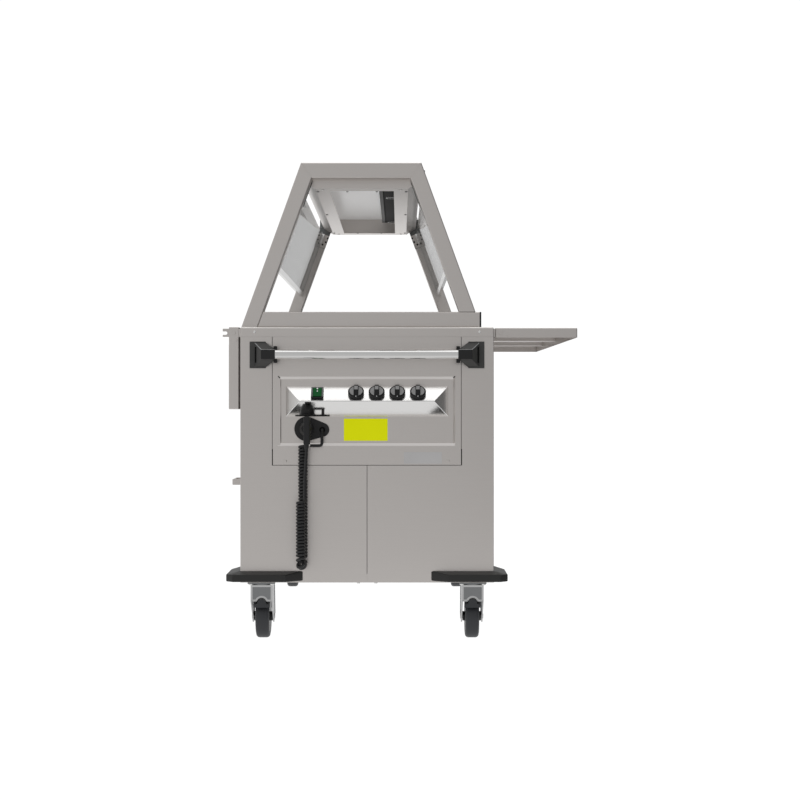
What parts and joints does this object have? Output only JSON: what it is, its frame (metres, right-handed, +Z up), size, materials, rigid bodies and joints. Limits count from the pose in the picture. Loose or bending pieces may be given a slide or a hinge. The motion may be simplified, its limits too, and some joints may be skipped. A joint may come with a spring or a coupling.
{
  "type": "buffet trolley",
  "caption": "Heated buffet trolley with sunken wells, a sneeze guard with lit canopy, folding tray slides, hinged cupboard doors, push bars and swivel casters.",
  "frame": {"origin": "on the floor, midway between the outermost points in X and Y", "axes": "+Z up, +Y along the trolley and away from its control end, +X towards the raised tray slide"},
  "size_m": [1.0228, 1.7185, 1.375],
  "materials": {
    "steel": "satin",
    "steel_bright": "polished",
    "zinc": "zinc plated",
    "brass": "cast",
    "white_metal": "gloss white",
    "glass": "clear",
    "black_plastic": "matt",
    "grey_plastic": "satin",
    "green_plastic": "gloss",
    "bumper_grey": "matt",
    "wheel_rubber": "satin",
    "cord_black": "satin"
  },
  "bodies": {
    "trolley": {"worktop": "steel", "wells": "steel", "heaters": "steel_bright", "base_pan": "steel", "side_panel_right": "steel", "side_frame_left": "steel", "end_sheets_near": "steel", "end_panel_far": "steel", "inner_frame": "steel", "cupboard_deck": "steel", "control_cover": "steel", "console": "steel_bright", "thermostats": "zinc", "switch_bezel": "grey_plastic", "push_bars": "steel_bright", "bar_brackets": "black_plastic", "corner_bumpers": "bumper_grey", "caster_plates": "zinc", "guard_frame_near": "steel", "guard_frame_far": "steel", "rail_end_plugs": "black_plastic", "canopy": "steel", "reflector": "white_metal", "lamp": "black_plastic", "lamp_gland": "black_plastic", "index_plates": "steel_bright", "canopy_blocks": "black_plastic", "tray_hooks": "steel_bright", "door_hinges": "steel_bright", "plug_holder": "black_plastic", "plug": "black_plastic", "cord_gland": "black_plastic", "power_cord": "cord_black", "drain_pipe": "brass", "terminal_box": "grey_plastic", "fasteners": "steel_bright"},
    "switch_rocker": {"switch_rocker": "green_plastic"},
    "pane_left": {"glass_left": "glass", "glass_fittings_left": "steel_bright"},
    "pane_right": {"glass_right": "glass", "glass_fittings_right": "steel_bright"},
    "tray_slide_left": {"tray_left": "steel"},
    "tray_slide_right": {"tray_right": "steel"},
    "door_near": {"door_near": "steel"},
    "door_far": {"door_far": "steel"},
    "drain_lever": {"drain_lever": "steel_bright"},
    "knob_1": {"knob_1": "black_plastic"},
    "knob_2": {"knob_2": "black_plastic"},
    "knob_3": {"knob_3": "black_plastic"},
    "knob_4": {"knob_4": "black_plastic"},
    "caster_near_left": {"fork_near_left": "zinc"},
    "wheel_near_left": {"wheel_near_left": "wheel_rubber"},
    "caster_near_right": {"fork_near_right": "zinc"},
    "wheel_near_right": {"wheel_near_right": "wheel_rubber"},
    "caster_far_left": {"fork_far_left": "zinc"},
    "wheel_far_left": {"wheel_far_left": "wheel_rubber"},
    "caster_far_right": {"fork_far_right": "zinc"},
    "wheel_far_right": {"wheel_far_right": "wheel_rubber"},
    "brake_near_left": {"brake_near_left": "black_plastic"},
    "brake_near_right": {"brake_near_right": "black_plastic"}
  },
  "joints": [
    {"name": "swivel_near_left", "type": "hinge", "parent": "trolley", "child": "caster_near_left", "pos_m": [-0.39735, -0.736, 0.16], "axis": [0, 0, 1], "continuous": true},
    {"name": "roll_near_left", "type": "hinge", "parent": "caster_near_left", "child": "wheel_near_left", "pos_m": [-0.39735, -0.696, 0.0625], "axis": [1, 0, 0], "continuous": true},
    {"name": "pedal_near_left", "type": "hinge", "parent": "caster_near_left", "child": "brake_near_left", "pos_m": [-0.39735, -0.757, 0.132], "axis": [1, 0, 0], "range_deg": [0, 8]},
    {"name": "swivel_near_right", "type": "hinge", "parent": "trolley", "child": "caster_near_right", "pos_m": [0.20865, -0.736, 0.16], "axis": [0, 0, 1], "continuous": true},
    {"name": "roll_near_right", "type": "hinge", "parent": "caster_near_right", "child": "wheel_near_right", "pos_m": [0.20865, -0.696, 0.0625], "axis": [1, 0, 0], "continuous": true},
    {"name": "pedal_near_right", "type": "hinge", "parent": "caster_near_right", "child": "brake_near_right", "pos_m": [0.20865, -0.757, 0.132], "axis": [1, 0, 0], "range_deg": [0, 8]},
    {"name": "swivel_far_left", "type": "hinge", "parent": "trolley", "child": "caster_far_left", "pos_m": [-0.39735, 0.736, 0.16], "axis": [0, 0, 1], "continuous": true},
    {"name": "roll_far_left", "type": "hinge", "parent": "caster_far_left", "child": "wheel_far_left", "pos_m": [-0.39735, 0.696, 0.0625], "axis": [1, 0, 0], "continuous": true},
    {"name": "swivel_far_right", "type": "hinge", "parent": "trolley", "child": "caster_far_right", "pos_m": [0.20865, 0.736, 0.16], "axis": [0, 0, 1], "continuous": true},
    {"name": "roll_far_right", "type": "hinge", "parent": "caster_far_right", "child": "wheel_far_right", "pos_m": [0.20865, 0.696, 0.0625], "axis": [1, 0, 0], "continuous": true},
    {"name": "knob_turn_1", "type": "hinge", "parent": "trolley", "child": "knob_1", "pos_m": [-0.12535, -0.8007, 0.7089], "axis": [0, -0.7071, 0.7071], "range_deg": [-270, 0]},
    {"name": "knob_turn_2", "type": "hinge", "parent": "trolley", "child": "knob_2", "pos_m": [-0.06655, -0.8007, 0.7089], "axis": [0, -0.7071, 0.7071], "range_deg": [-270, 0]},
    {"name": "knob_turn_3", "type": "hinge", "parent": "trolley", "child": "knob_3", "pos_m": [-0.00775, -0.8007, 0.7089], "axis": [0, -0.7071, 0.7071], "range_deg": [-270, 0]},
    {"name": "knob_turn_4", "type": "hinge", "parent": "trolley", "child": "knob_4", "pos_m": [0.05105, -0.8007, 0.7089], "axis": [0, -0.7071, 0.7071], "range_deg": [-270, 0]},
    {"name": "rocker_tilt", "type": "hinge", "parent": "trolley", "child": "switch_rocker", "pos_m": [-0.23585, -0.8007, 0.7089], "axis": [1, 0, 0], "range_deg": [-16, 0]},
    {"name": "tray_fold_right", "type": "hinge", "parent": "trolley", "child": "tray_slide_right", "pos_m": [0.2909, 0, 0.8847], "axis": [0, 1, 0], "range_deg": [0, 90]},
    {"name": "tray_fold_left", "type": "hinge", "parent": "trolley", "child": "tray_slide_left", "pos_m": [-0.4796, 0, 0.8847], "axis": [0, 1, 0], "range_deg": [0, 90]},
    {"name": "pane_swing_right", "type": "hinge", "parent": "trolley", "child": "pane_right", "pos_m": [0.06395, 0, 1.303], "axis": [0, -1, 0], "range_deg": [0, 75]},
    {"name": "pane_swing_left", "type": "hinge", "parent": "trolley", "child": "pane_left", "pos_m": [-0.28745, 0, 1.303], "axis": [0, 1, 0], "range_deg": [0, 75]},
    {"name": "door_swing_near", "type": "hinge", "parent": "trolley", "child": "door_near", "pos_m": [-0.4626, -0.062, 0.425], "axis": [0, 0, -1], "range_deg": [0, 90]},
    {"name": "door_swing_far", "type": "hinge", "parent": "trolley", "child": "door_far", "pos_m": [-0.4626, 0.062, 0.425], "axis": [0, 0, 1], "range_deg": [0, 90]},
    {"name": "lever_turn", "type": "hinge", "parent": "trolley", "child": "drain_lever", "pos_m": [0.08565, 0.705, 0.5677], "axis": [0, -1, 0], "range_deg": [0, 90]}
  ]
}
